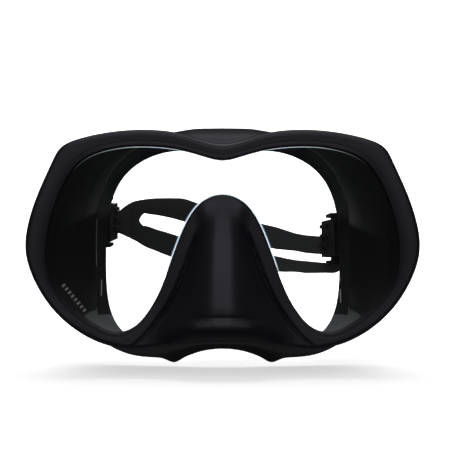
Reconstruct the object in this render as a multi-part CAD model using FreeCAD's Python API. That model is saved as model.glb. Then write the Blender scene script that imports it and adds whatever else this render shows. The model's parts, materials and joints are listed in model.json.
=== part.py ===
import FreeCAD, Part
import math
import os

V = FreeCAD.Vector
os.makedirs("parts", exist_ok=True)

# Single-lens diving mask. Millimetres. +X to the viewer's right when looking at the lens, +Y back
# towards the wearer, +Z up. The origin is the middle of the face seal; the lens faces -Y.

# ---------------------------------------------------------------- driving sizes
SEAL_MID_Y = -14.0        # rear of the seal at the middle of the face
SEAL_RADIUS = 153.0       # the seal follows a face of this radius
WALL = 2.2                # silicone wall
LENS_FRONT = -70.5        # glass
LENS_BACK = -67.0
LENS_EDGE = 1.8           # how far the glass runs under the silicone
RING_IN, RING_OUT = 2.1, 3.95    # hard ring bonded round the glass
POST_Y, POST_Z = -32.0, 4.0       # axis of the strap arms on the skirt
PIN_X, PIN_Y = 79.5, 6.5          # vertical hinge of each buckle
TILT = {"left": 4.0, "right": -4.0}     # rest tilt of each arm about X
FOLD = {"left": 5.5, "right": 12.0}     # rest fold of each buckle towards the face
FIT = 0.05                # radial running clearance
ROLL_C = (-13.5, 18.0)    # roller centre in the buckle
ROLL_R = 2.75
STRAP_T = 2.0             # strap thickness
PLATE_IN, PLATE_OUT = 7.2, 9.5    # buckle side plates, half heights
BUTTON_TRAVEL = 1.8
PAWL_C = (-13.5, 24.2)


# ---------------------------------------------------------------- rails
# Half contours, top centre -> round the right side -> bottom centre, (x, z) in mm.
# LENS_OPEN: edge of the silicone that frames the glass, nose arch included.
LENS_OPEN = [(0, 36.2), (4.5, 36.8), (11, 38.7), (20.2, 41.0), (31.5, 42.3), (43, 42.2), (53, 40.6), (61, 37.6), (66.8, 33.0),
             (71, 27), (74.5, 19.8), (77.3, 11.5), (79.2, 2.2), (79.8, -7.5), (78.3, -16.3), (74.9, -23.6), (69.6, -29.9), (63.2, -35.2),
             (57, -39), (50.8, -41.5), (44.6, -41.4), (39.2, -38.6), (34.8, -33.8), (30.7, -27.3), (27.0, -19.4), (23.3, -10),
             (19.2, -0.5), (15, 9.1), (10.6, 15.8), (5.5, 19.5), (0, 20.6)]
# RIM: outer edge of the front rim; under the nose it is the lower front edge of the pocket.
RIM = [(0, 43.5), (5.5, 44.2), (13, 46.4), (21, 48.9), (31, 50.2), (43.5, 50.1), (55.5, 48.6), (65.7, 46.2), (73.3, 42.7),
       (77.1, 37.2), (80.1, 30.7), (84.9, 19.7), (88.7, 7.7), (90.0, -3.5), (87.9, -13.7), (83.7, -22.7), (78.0, -31.0), (70.5, -38.4),
       (62.2, -44.0), (54.1, -47.6), (46, -49.6), (39.5, -50.0), (33, -49.4), (27.5, -48.4), (22.6, -47.4), (18, -46.5),
       (13.6, -45.9), (9.4, -45.5), (6, -45.3), (3, -45.2), (0, -45.2)]
RIM_Y = [-70.3, -70.2, -69.9, -69.5, -69.3, -69.2, -69.0, -69.0, -69.0,
         -69.0, -69.0, -69.0, -69.0, -69.0, -69.0, -69.0, -69.0, -69.0,
         -69.0, -68.6, -67.6, -67.0, -67.5, -69.0, -70.8, -72.2,
         -73.2, -73.8, -74.0, -74.1, -74.1]
# OUT1..: outer wall contours at growing depth
OUT_A = [(0, 48.9), (6, 49.2), (14, 49.5), (22.5, 49.2), (32, 48.3), (42.5, 46.9), (52.8, 45.0), (61.6, 42.0), (69, 37.6),
         (74, 31.2), (78.2, 22.8), (81.6, 13), (83.7, 2.8), (84.3, -7.6), (82.8, -17.2), (79.1, -25.6), (73.4, -32.4), (66.5, -38.2),
         (59.5, -42.9), (52.5, -46.8), (45.5, -49.2), (39, -50.3), (33, -50.2), (27.5, -49.6), (22.6, -48.8), (18, -48.1),
         (13.6, -47.6), (9.4, -47.3), (6, -47.1), (3, -47.0), (0, -47.0)]
OUT_B = [(0, 53.2), (7, 53.1), (15, 52.6), (24, 50.6), (33.2, 49.2), (43, 47.4), (52.4, 44.8), (60.4, 41.0), (66.8, 35.8),
         (71.6, 29.4), (75.6, 21.3), (78.6, 12), (80.4, 2.2), (80.9, -8.0), (79.6, -17.8), (76.2, -26.6), (71, -33.9), (64.6, -40.0),
         (58.2, -44.8), (51.8, -48.6), (45.4, -51.0), (39.4, -52.0), (33.8, -52.1), (28.3, -51.7), (23.2, -51.0), (18.4, -50.2),
         (13.9, -49.6), (9.8, -49.2), (6.2, -49.0), (3.1, -48.9), (0, -48.9)]
OUT_C = [(0, 52.0), (7.5, 51.8), (15.8, 50.9), (24.6, 50.0), (34, 49.2), (43.4, 47.4), (51.2, 43.4), (57.8, 38.7), (62.8, 33.0),
         (66.5, 26.6), (69.6, 19), (71.8, 10.6), (73, 1.2), (73.3, -8.8), (72.3, -18.8), (70.0, -28.4), (67.2, -37.0), (63.4, -44.0),
         (58.0, -49.4), (51.6, -52.8), (45.0, -54.6), (38.9, -55.0), (33.6, -55.2), (28.4, -54.9), (23.4, -54.0), (18.6, -52.8),
         (14.1, -51.8), (9.9, -51.2), (6.3, -50.9), (3.1, -50.8), (0, -50.8)]
OUT_D = [(0, 49.6), (7.6, 49.6), (16, 49.5), (25, 49.3), (34.8, 48.7), (43.9, 46.9), (51.2, 41.7), (56.6, 35.8), (59.9, 30.0),
         (62.2, 24.4), (64.2, 18.1), (65.2, 9.6), (65.5, 0.6), (65.5, -8.8), (65.4, -18.6), (65.3, -28.0), (65.1, -37.3), (62.7, -45.0),
         (58.0, -50.4), (51.5, -53.9), (44.6, -55.4), (38.2, -56.0), (32.8, -56.0), (27.8, -55.3), (23.2, -54.2), (18.8, -52.4),
         (14.3, -50.9), (10, -50.0), (6.4, -49.6), (3.2, -49.4), (0, -49.4)]
# LIP_OUT: tip of the outer sealing lip
LIP_OUT = [(0, 52.4), (8, 52.4), (16.8, 52.0), (25.8, 51.6), (35, 50.8), (44.2, 48.9), (52.0, 45.0), (58.2, 39.8), (62.8, 33.8),
           (66.0, 26.8), (68.5, 18.8), (70.2, 10), (71, 0.6), (71.1, -9.2), (70.3, -19.4), (68.4, -29.2), (66.2, -38.4), (63.2, -46.6),
           (58.6, -52.4), (52.5, -55.8), (46.2, -57.8), (40.2, -58.7), (34.4, -59.0), (29.2, -59.6), (24.2, -61.2), (19.6, -59.1),
           (14.8, -57.0), (10.4, -55.6), (6.6, -54.9), (3.3, -54.5), (0, -54.4)]
# LIP_IN: tip of the inner sealing lip, the opening the face looks through
LIP_IN = [(0, 42.8), (6.6, 42.9), (13.8, 43.2), (20.8, 43.4), (27.2, 42.9), (33.6, 41.3), (39.8, 38.6), (45.4, 34.8), (50, 30.0),
          (53.4, 24.4), (55.9, 17.6), (57.6, 9.6), (58.4, 0.8), (58.6, -8.6), (58.5, -18.4), (57.9, -27.4), (56.4, -35.2), (53.6, -41.8),
          (49.8, -46.4), (45.2, -49.2), (40, -50.4), (34.8, -50.2), (30, -48.8), (25.6, -46.6), (21.6, -44.2), (17.6, -42.2),
          (13.6, -40.8), (9.8, -40.0), (6.4, -39.6), (3.2, -39.4), (0, -39.4)]
N_HALF = 30
N_ST = 60


def full(half):
    """Closed list of 60 stations: 0 top centre, 30 bottom centre, then the mirrored side."""
    return list(half) + [(-half[60 - k][0], half[60 - k][1]) for k in range(31, 60)]


def full1(half):
    return list(half) + [half[60 - k] for k in range(31, 60)]


RAILS = {n: full(v) for n, v in dict(A=LENS_OPEN, R=RIM, TA=OUT_A, TB=OUT_B, TC=OUT_C, TD=OUT_D, LO=LIP_OUT, LI=LIP_IN).items()}
RAIL_RY = full1(RIM_Y)


def basis(t):
    return ((1 - t) ** 3 / 6, (3 * t ** 3 - 6 * t ** 2 + 4) / 6, (-3 * t ** 3 + 3 * t ** 2 + 3 * t + 1) / 6, t ** 3 / 6)


def poles_of(values):
    """Control values of the closed uniform cubic spline that passes through values."""
    n = len(values)
    p = list(values)
    for _ in range(60):
        p = [(6 * values[i] - p[i - 1] - p[(i + 1) % n]) / 4 for i in range(n)]
    return p


CTRL = {n: ([*poles_of([p[0] for p in v])], [*poles_of([p[1] for p in v])]) for n, v in RAILS.items()}
CTRL_RY = poles_of(RAIL_RY)


def spl(c, u):
    n = len(c)
    i = int(math.floor(u))
    t = u - i
    b = basis(t)
    return b[0] * c[(i - 1) % n] + b[1] * c[i % n] + b[2] * c[(i + 1) % n] + b[3] * c[(i + 2) % n]


def rail(name, u):
    cx, cz = CTRL[name]
    return spl(cx, u), spl(cz, u)


def normal(name, u):
    """Outward normal of a rail in the (x, z) plane."""
    e = 0.05
    a, b = rail(name, u - e), rail(name, u + e)
    dx, dz = b[0] - a[0], b[1] - a[1]
    n = math.hypot(dx, dz)
    return -dz / n, dx / n      # rails run clockwise seen from the front, so this points out of the loop


def off(name, u, d):
    x, z = rail(name, u)
    nx, nz = normal(name, u)
    return x + nx * d, z + nz * d


# ---------------------------------------------------------------- small maths
def smooth(t):
    t = max(0.0, min(1.0, t))
    return t * t * (3 - 2 * t)


def curve(tab, t):
    """Smooth value of a table of (t, value) pairs, t rising."""
    if t <= tab[0][0]:
        return tab[0][1]
    if t >= tab[-1][0]:
        return tab[-1][1]
    i = 0
    while tab[i + 1][0] < t:
        i += 1

    def slope(j):
        if j <= 0 or j >= len(tab) - 1:
            return 0.0
        return (tab[j + 1][1] - tab[j - 1][1]) / (tab[j + 1][0] - tab[j - 1][0])
    h = tab[i + 1][0] - tab[i][0]
    s = (t - tab[i][0]) / h
    return ((2 * s ** 3 - 3 * s ** 2 + 1) * tab[i][1] + (s ** 3 - 2 * s ** 2 + s) * h * slope(i)
            + (-2 * s ** 3 + 3 * s ** 2) * tab[i + 1][1] + (s ** 3 - s ** 2) * h * slope(i + 1))


def rear_y(x):
    return SEAL_MID_Y + SEAL_RADIUS - math.sqrt(SEAL_RADIUS ** 2 - x * x)


# nose pocket: half width of the groove beside it, and height of its ridge, against z
NOSE_HALF = [(-50.0, 42.0), (-46.8, 39.0), (-43.6, 35.4), (-36.3, 29.5), (-27.2, 23.5), (-14.8, 17.8), (-2.7, 13.3), (7.7, 8.9),
             (11.2, 5.0), (12.4, 0.6), (13.0, 0.05)]
NOSE_RIDGE = [(-52.0, 3.0), (-46.2, 6.5), (-43.0, 12.0), (-40.5, 14.9), (-38.0, 15.6), (-35.5, 15.1), (-33.0, 14.8), (-30.0, 14.5),
              (-20.0, 12.4), (-10.0, 9.7), (0.0, 6.5), (8.0, 3.0), (12.5, 0.4), (14.0, 0.0)]
NOSE_ROUND = 8.0           # rounding of the ridge
NOSE_FLAT = 2.8            # half width of its flat crest


def nose_fall(x, g):
    """1 on the crest of the nose pocket, 0 at its foot."""
    c = min(NOSE_FLAT, 0.22 * g)
    a, b, r = max(0.0, abs(x) - c), g - c, NOSE_ROUND
    return 1.0 - (math.sqrt(a * a + r * r) - r) / (math.sqrt(b * b + r * r) - r)


def nose_height(x, z):
    """How far the nose pocket stands forward of the front band."""
    if z > 13.0:
        return 0.0
    g = curve(NOSE_HALF, z)
    t = abs(x) / g
    groove = 0.6 * smooth((9.0 - z) / 9.0)
    if t < 1.0:
        return curve(NOSE_RIDGE, z) * nose_fall(x, g) - groove * smooth(2 * t - 1)
    return -groove * (1 - smooth((abs(x) - g) / 2.2))


def front_point(u, f):
    """Front face of the silicone, f = 0 at the glass and 1 at the outer edge."""
    xa, za = rail("A", u)
    xr, zr = rail("R", u)
    length = math.hypot(xr - xa, zr - za)
    x, z = xa + (xr - xa) * f, za + (zr - za) * f
    y = -71.2 - 1.1 * smooth(f * length / 0.9) - nose_height(x, z)
    q = 1 - (1 - f) * length / 2.6
    if q > 0:
        e = 1 - math.sqrt(max(0.0, 1 - q * q))
        y = y * (1 - e) + spl(CTRL_RY, u) * e
    return (x, y, z)


def noseness(u):
    k = u % N_ST
    k = min(k, N_ST - k)
    return smooth((k - 19.0) / 4.0)


def at(name, u, d, y):
    x, z = off(name, u, d)
    return (x, y, z)


def lerp3(a, b, t):
    return tuple(a[i] + (b[i] - a[i]) * t for i in range(3))


# ---------------------------------------------------------------- skirt
def skirt_rows(u):
    """Control rows round the section at station u, in patches that meet at sharp edges."""
    ry = spl(CTRL_RY, u)
    w = noseness(u)
    xa, za = rail("A", u)
    xr, zr = rail("R", u)
    length = math.hypot(xr - xa, zr - za)
    front = [front_point(u, f) for f in (0.0, 0.06, 0.16, 0.3, 0.42, 0.54, 0.66, 0.76, 0.85, 0.93, 1.0)]
    r, ta, lo, li, td = (rail(n, u) for n in ("R", "TA", "LO", "LI", "TD"))
    mix = lambda p, q, t: (p[0] + (q[0] - p[0]) * t, p[1] + (q[1] - p[1]) * t)
    p3 = lambda p, y: (p[0], y, p[1])
    outer = [front[-1], p3(off("R", u, -0.2), ry + 2.4), p3(mix(r, ta, 0.4), ry + 4.4), p3(ta, ry + 6.8), p3(rail("TB", u), -51.0),
             p3(rail("TC", u), -31.0), p3(td, rear_y(td[0]) - 9.0), p3(mix(td, lo, 0.6), rear_y(lo[0]) - 4.4), p3(lo, rear_y(lo[0]) - 0.9)]
    lob = off("LO", u, -0.5)
    tip1 = [outer[-1], p3(lob, rear_y(lob[0]) + 0.1)]
    rear = [tip1[-1]] + [p3(mix(lob, li, t), rear_y(mix(lob, li, t)[0]) + 0.25) for t in (0.3, 0.65)] + [p3(li, rear_y(li[0]))]
    lib = off("LI", u, 0.2)
    tip2 = [rear[-1], p3(lib, rear_y(lib[0]) - 0.9)]
    wr = off("TD", u, -WALL - 0.4)
    under = [tip2[-1], p3(mix(lib, wr, 0.6), rear_y(lib[0]) - 2.4), p3(off("TD", u, -WALL), rear_y(wr[0]) - 5.4), p3(wr, rear_y(wr[0]) - 10.0),
             p3(off("TC", u, -WALL), -31.0), p3(off("TB", u, -WALL), -51.0), p3(off("TA", u, -WALL), max(ry + 7.4, -62.0))]

    def inner(d_rim, y_rim, d_nose, lift):
        a = at("A", u, d_rim, y_rim)
        if w <= 0:
            return a
        f = d_nose / length
        b = front_point(u, f)
        return lerp3(a, (b[0], b[1] + lift, b[2]), w)
    span = max(0.5, length - 9.6)
    under += [inner(2.5, -64.4, length - 2.6, 4.2), inner(2.4, -65.2, 6.8 + span * 0.75, 2.5), inner(2.0, -65.7, 6.8 + span * 0.5, 2.4),
              inner(1.6, -65.9, 6.8 + span * 0.25, 2.4), inner(1.2, -66.0, 6.6, 3.0),
              lerp3(at("A", u, 0.9, -66.0), at("A", u, 5.0, -65.9), w), at("A", u, 0.3, -66.0)]
    g = [at("A", u, 0.3, LENS_BACK), at("A", u, 4.2, LENS_BACK), at("A", u, 4.2, LENS_FRONT), at("A", u, 0.0, LENS_FRONT)]
    return [front, outer, tip1, rear, tip2, under, [under[-1], g[0]], [g[0], g[1]], [g[1], g[2]], [g[2], g[3]], [g[3], front[0]]]


def spline_face(rows):
    """Face from rows of closed curves: each row passes through its 60 stations, rows are control rows."""
    n = len(rows)
    deg = 3 if n > 3 else 1
    poles = []
    for row in rows:
        cs = [poles_of([p[i] for p in row]) for i in range(3)]
        poles.append([V(cs[0][j], cs[1][j], cs[2][j]) for j in range(len(row))])
    grid = [[poles[r][j] for r in range(n)] for j in range(len(rows[0]))]
    spans = n - deg
    vk = [float(i) for i in range(spans + 1)]
    vm = [deg + 1] + [1] * (spans - 1) + [deg + 1]
    s = Part.BSplineSurface()
    m = len(rows[0])
    s.buildFromPolesMultsKnots(grid, [1] * (m + 1), vm, [float(i) for i in range(m + 1)], vk, True, False, 3, deg)
    return s.toShape()


def sew(faces):
    c = Part.Compound(faces)
    c.sewShape(0.001)
    shells = c.Shells
    s = Part.Solid(shells[0]) if shells else Part.Solid(Part.Shell(c.Faces))
    if s.Volume < 0:
        s.reverse()
    return s


def cyl(r, h, base, axis):
    return Part.makeCylinder(r, h, V(*base), V(*axis))


def box(x0, x1, y0, y1, z0, z1):
    return Part.makeBox(x1 - x0, y1 - y0, z1 - z0, V(x0, y0, z0))


def prism(pts, z0, z1):
    return Part.Face(Part.makePolygon([V(x, y, z0) for x, y in pts] + [V(pts[0][0], pts[0][1], z0)])).extrude(V(0, 0, z1 - z0))


def prism_x(pts, x0, x1):
    """Outline in (y, z) pushed along X."""
    return Part.Face(Part.makePolygon([V(x0, y, z) for y, z in pts] + [V(x0, pts[0][0], pts[0][1])])).extrude(V(x1 - x0, 0, 0))


def fillet_z(shape, r):
    """Round the edges that run along Z."""
    es = [e for e in shape.Edges if len(e.Vertexes) == 2 and abs(e.Vertexes[0].X - e.Vertexes[1].X) < 1e-6
          and abs(e.Vertexes[0].Y - e.Vertexes[1].Y) < 1e-6]
    try:
        return shape.makeFillet(r, es)
    except Exception:
        return shape


parts = {}

rows = [skirt_rows(float(k)) for k in range(N_ST)]
faces = []
for pi in range(len(rows[0])):
    faces.append(spline_face([[rows[k][pi][ri] for k in range(N_ST)] for ri in range(len(rows[0][pi]))]))
skirt = sew(faces)


# bosses on the side walls, each holding a moulded-in strap post
def boss_right():
    c = cyl(11.5, 10.4, (69.0, POST_Y, POST_Z), (1, 0, 0))
    sl = 0.35
    keep = prism([(72.1 - sl * (-60 - POST_Y), -60), (100, -60), (100, 0), (72.1 - sl * (0 - POST_Y), 0)], -20, 30)
    return c.common(keep)


def post_right():
    s = cyl(9.4, 2.0, (75.2, POST_Y, POST_Z), (1, 0, 0))
    s = s.fuse(cyl(6.5, 2.8, (77.0, POST_Y, POST_Z), (1, 0, 0)))
    s = s.fuse(cyl(3.0, 4.2, (79.6, POST_Y, POST_Z), (1, 0, 0)))
    return s.fuse(cyl(4.6, 1.2, (82.95, POST_Y, POST_Z), (1, 0, 0))).removeSplitter()


def mirrored(s):
    return s.mirror(V(0, 0, 0), V(1, 0, 0))


for sh in (boss_right(), mirrored(boss_right())):
    skirt = skirt.fuse(sh)
for sh in (post_right(), mirrored(post_right())):
    skirt = skirt.cut(sh)
parts["skirt"] = skirt
parts["mount_post_right"] = post_right()
parts["mount_post_left"] = mirrored(post_right())


# ---------------------------------------------------------------- glass and its ring
def loop_row(d, y):
    """Closed row that starts at the lower side, away from the skirt's own seam."""
    return [at("A", float((k + 14.5) % N_ST), d, y) for k in range(N_ST)]


def cap(row):
    cs = [poles_of([p[i] for p in row]) for i in range(3)]
    b = Part.BSplineCurve()
    m = len(row)
    b.buildFromPolesMultsKnots([V(cs[0][j], cs[1][j], cs[2][j]) for j in range(m)], [1] * (m + 1), [float(i) for i in range(m + 1)], True, 3)
    return Part.Face(Part.Wire([b.toShape()]))


lr = [loop_row(LENS_EDGE - 0.6, LENS_FRONT), loop_row(LENS_EDGE, LENS_FRONT + 0.6), loop_row(LENS_EDGE, LENS_BACK - 0.4),
      loop_row(LENS_EDGE - 0.4, LENS_BACK)]
parts["lens"] = sew([cap(lr[0])] + [spline_face([lr[i], lr[i + 1]]) for i in range(3)] + [cap(lr[3])])
ring = cap(loop_row(RING_OUT, LENS_FRONT + 0.2)).extrude(V(0, LENS_BACK - LENS_FRONT - 0.4, 0))
parts["lens_frame"] = ring.cut(cap(loop_row(RING_IN, LENS_FRONT - 1.0)).extrude(V(0, LENS_BACK - LENS_FRONT + 2.0, 0)))


# ---------------------------------------------------------------- strap arms and buckles, right-hand originals
# Local frame of a buckle: origin on the hinge pin, x out from the face, y back, z up.
def place(s, side, folded):
    s = s.copy()
    if folded:
        s.rotate(V(0, 0, 0), V(0, 0, 1), FOLD[side])
    s.translate(V(PIN_X, PIN_Y, POST_Z))
    s.rotate(V(0, POST_Y, POST_Z), V(1, 0, 0), TILT[side])
    return mirrored(s) if side == "left" else s


def arm():
    y0 = POST_Y - PIN_Y          # post axis in the local frame
    plate = [(y0 - 2, 8.2), (y0 + 5, 7.4), (y0 + 14, 5.2), (-4.5, 4.4), (0.5, 4.4), (0.5, -4.4), (-4.5, -4.4), (y0 + 14, -5.2), (y0 + 5, -7.4),
             (y0 - 2, -8.2)]
    a = prism_x(plate, 0.5, 3.1).fuse(cyl(8.4, 2.6, (0.5, y0, 0), (1, 0, 0)))
    a = a.fuse(prism_x([(y0 + 11, 2.2), (-2, 2.2), (-2, -2.2), (y0 + 11, -2.2)], 2.6, 4.2))
    a = a.fuse(cyl(4.0, 8.8, (0, 0, -4.4), (0, 0, 1)))
    a = a.cut(cyl(3.0 + FIT, 6, (-1, y0, 0), (1, 0, 0)))
    a = a.cut(cyl(1.5, 12, (0, 0, -6), (0, 0, 1)))
    return a.removeSplitter()


def pin():
    return cyl(1.5, 18.6, (0, 0, -9.3), (0, 0, 1))


NECK = [(4.3, 0), (3.6, 4.6), (0.6, 8.2), (-4.4, 11.2), (-6.9, 13.2), (-6.9, 36.0), (-8.2, 37.2), (-17.4, 37.2), (-18.8, 36.0), (-18.8, 13.4),
        (-16.6, 10.4), (-9.6, 7.4), (-5.2, 4.4), (-4.3, 0), (-3.0, -3.0), (0, -4.3), (3.0, -3.0)]


def buckle_frame():
    b = None
    for z0, z1 in ((PLATE_IN, PLATE_OUT), (-PLATE_OUT, -PLATE_IN)):
        p = prism(NECK, z0, z1)
        zo = z1 if z1 > 0 else z0
        p = p.makeChamfer(0.5, [e for e in p.Edges if all(abs(v.Z - zo) < 1e-6 for v in e.Vertexes)])
        b = p if b is None else b.fuse(p)
    for z0, z1 in ((4.8, PLATE_IN + 0.5), (-PLATE_IN - 0.5, -4.8)):
        b = b.fuse(cyl(4.2, z1 - z0, (0, 0, z0), (0, 0, 1)))
    block = prism([(3.2, 5.2), (0.6, 8.2), (-4.4, 11.2), (-6.9, 13.2), (-6.9, 13.6), (-8.0, 12.8), (-18.8, 12.8), (-16.6, 10.4), (-9.6, 7.4),
                   (-5.0, 5.0)], -PLATE_OUT + 0.2, PLATE_OUT - 0.2)
    block = block.cut(cyl(4.9, 30, (0, 0, -15), (0, 0, 1)))
    b = b.fuse(block)
    b = b.fuse(box(-8.2, -6.9, 12.5, 36.0, -PLATE_OUT + 0.5, PLATE_OUT - 0.5))             # outer wall
    b = b.fuse(box(-15.6, -11.4, 35.4, 37.2, -PLATE_OUT + 0.5, PLATE_OUT - 0.5))           # rear post between the strap runs
    b = b.fuse(box(-15.4, -11.6, 27.4, 36.0, -0.6, 0.6))                       # web the button springs stand on
    b = b.cut(cyl(1.5 + FIT, 30, (0, 0, -15), (0, 0, 1)))
    b = b.cut(cyl(1.25, 30, (ROLL_C[0], ROLL_C[1], -15), (0, 0, 1)))
    b = b.cut(cyl(0.9, 30, (PAWL_C[0], PAWL_C[1], -15), (0, 0, 1)))
    for z0, z1 in ((PLATE_IN - 1, PLATE_OUT + 1), (-PLATE_OUT - 1, -PLATE_IN + 1)):
        b = b.cut(box(-16.1, -10.9, 27.1, 34.3, z0, z1))
    return b.removeSplitter()


def buckle_cover():
    c = box(-20.2, -18.85, 13.4, 36.6, -PLATE_OUT, PLATE_OUT)
    c = fillet_z(c, 0.6)
    for z in (6.6, 1.6, -3.4):
        c = c.fuse(box(-21.3, -20.0, 24.0, 36.0, z - 0.9, z + 0.9))
    return c.removeSplitter()


def roller():
    r = cyl(ROLL_R, 13.8, (ROLL_C[0], ROLL_C[1], -6.9), (0, 0, 1))
    r = r.cut(cyl(1.25 + FIT, 20, (ROLL_C[0], ROLL_C[1], -10), (0, 0, 1)))
    for k in range(10):
        a = 2 * math.pi * k / 10
        r = r.cut(cyl(0.3, 20, (ROLL_C[0] + ROLL_R * math.cos(a), ROLL_C[1] + ROLL_R * math.sin(a), -10), (0, 0, 1)))
    return r


def roller_pin():
    return cyl(1.25, 18.8, (ROLL_C[0], ROLL_C[1], -9.4), (0, 0, 1))


def pawl():
    p = cyl(1.9, 9.6, (PAWL_C[0], PAWL_C[1], -4.8), (0, 0, 1))
    p = p.fuse(prism([(-13.0, 22.4), (-15.6, 24.6), (-16.1, 25.5), (-15.4, 25.7), (-13.0, 25.6)], -4.8, 4.8))
    p = p.cut(cyl(0.9 + FIT, 20, (PAWL_C[0], PAWL_C[1], -10), (0, 0, 1)))
    return p.removeSplitter()


def pawl_pin():
    return cyl(0.9, 18.8, (PAWL_C[0], PAWL_C[1], -9.4), (0, 0, 1))


def button(up):
    b = box(-15.7, -11.3, 27.4, 34.0, 5.2, 11.6)
    b = b.fuse(box(-15.7, -11.3, 26.6, 34.9, 5.2, 6.5))
    top = fillet_z(box(-18.2, -8.8, 25.4, 36.0, 11.4, 13.0), 1.4)
    b = b.fuse(top)
    for k in range(3):
        b = b.fuse(box(-17.4, -9.6, 27.4 + 3.0 * k, 28.5 + 3.0 * k, 12.9, 13.6))
    b = b.removeSplitter()
    if not up:
        b = b.mirror(V(0, 0, 0), V(0, 0, 1))
    return b


def spring(up):
    """Small coil spring of round wire, in short straight-sided lengths."""
    z0, z1, rad, wire, turns, per = 0.85, 4.95, 1.25, 0.18, 3.25, 14
    n = int(turns * per)
    wires = []
    for k in range(n + 1):
        a = 2 * math.pi * k / per
        z = z0 + (z1 - z0) * k / n
        pts = []
        for m in range(8):
            b = 2 * math.pi * m / 8
            rr = rad + wire * math.cos(b)
            pts.append(V(-13.5 + rr * math.cos(a), 30.7 + rr * math.sin(a), z + wire * math.sin(b)))
        wires.append(Part.makePolygon(pts + [pts[0]]))
    s = Part.makeLoft(wires, True, True)
    if not up:
        s = s.mirror(V(0, 0, 0), V(0, 0, 1))
    return s


for side in ("left", "right"):
    parts["swivel_arm_" + side] = place(arm(), side, False)
    parts["hinge_pin_" + side] = place(pin(), side, False)
    for nm, fn in (("buckle_frame_", buckle_frame), ("buckle_cover_", buckle_cover), ("roller_", roller), ("roller_pin_", roller_pin),
                   ("pawl_", pawl), ("pawl_pin_", pawl_pin)):
        parts[nm + side] = place(fn(), side, True)
    for up, nm in ((True, "upper"), (False, "lower")):
        parts["button_%s_%s" % (nm, side)] = place(button(up), side, True)
        parts["button_spring_%s_%s" % (nm, side)] = place(spring(up), side, True)


# ---------------------------------------------------------------- strap
# Head strap behind the face opening: x, y, upper band (low, high), lower band (low, high).
BANDS = [
    (-50.3, 49.8, 9.6, 18.5, -0.2, 9.4), (-47.2, 50.6, 10.2, 19.8, -1.8, 9.0),
    (-41.9, 51.3, 12.7, 20.8, -5.0, 6.8), (-36.5, 52.0, 12.2, 21.3, -7.2, 4.6), (-31.1, 52.5, 11.2, 21.4, -9.4, 3.1),
    (-25.8, 52.9, 10.0, 21.4, -11.3, 1.4), (-20.4, 53.4, 8.5, 20.9, -12.8, -0.3), (-10.5, 54.2, 5.1, 17.4, -14.3, -2.6),
    (0.0, 55.0, 1.6, 13.9, -15.7, -4.7), (10.4, 55.2, -1.8, 10.8, -17.0, -6.8), (20.8, 55.3, -4.7, 7.6, -18.0, -8.9),
    (28.5, 55.5, -6.3, 5.8, -18.5, -10.0), (33.9, 55.4, -6.8, 4.1, -18.7, -11.2), (39.3, 55.2, -7.3, 2.4, -18.7, -12.2),
    (44.7, 55.1, -8.4, 1.4, -19.3, -12.7), (50.1, 54.4, -8.9, 0.9, -19.3, -13.2), (55.5, 54.2, -9.2, 0.6, -19.2, -13.7),
    (60.7, 53.2, -9.6, 0.4, -19.1, -14.0)]


def band(stations):
    """Solid strip through (x, y, low z, high z) stations, STRAP_T thick."""
    wires = []
    n = len(stations)
    for i, (x, y, z0, z1) in enumerate(stations):
        a, b = stations[max(0, i - 1)], stations[min(n - 1, i + 1)]
        tx, ty = b[0] - a[0], b[1] - a[1]
        ln = math.hypot(tx, ty)
        nx, ny = -ty / ln * STRAP_T / 2, tx / ln * STRAP_T / 2
        wires.append(Part.makePolygon([V(x + nx, y + ny, z0), V(x + nx, y + ny, z1), V(x - nx, y - ny, z1), V(x - nx, y - ny, z0),
                                       V(x + nx, y + ny, z0)]))
    return Part.makeLoft(wires, True, True)


upper = band([(x, y, a, b) for x, y, a, b, c, d in BANDS])
lower = band([(x, y, c, d) for x, y, a, b, c, d in BANDS])
web = band([(-50.3, 49.8, 6.0, 12.0), (-47.2, 50.6, 6.0, 12.5), (-44.6, 50.95, 6.4, 12.6)])
parts["strap_back"] = upper.fuse(lower).fuse(web).removeSplitter()


def local_to_row(p, side):
    v = Part.Vertex(V(*p))
    return place(v, side, True).Vertexes[0].Point


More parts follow.
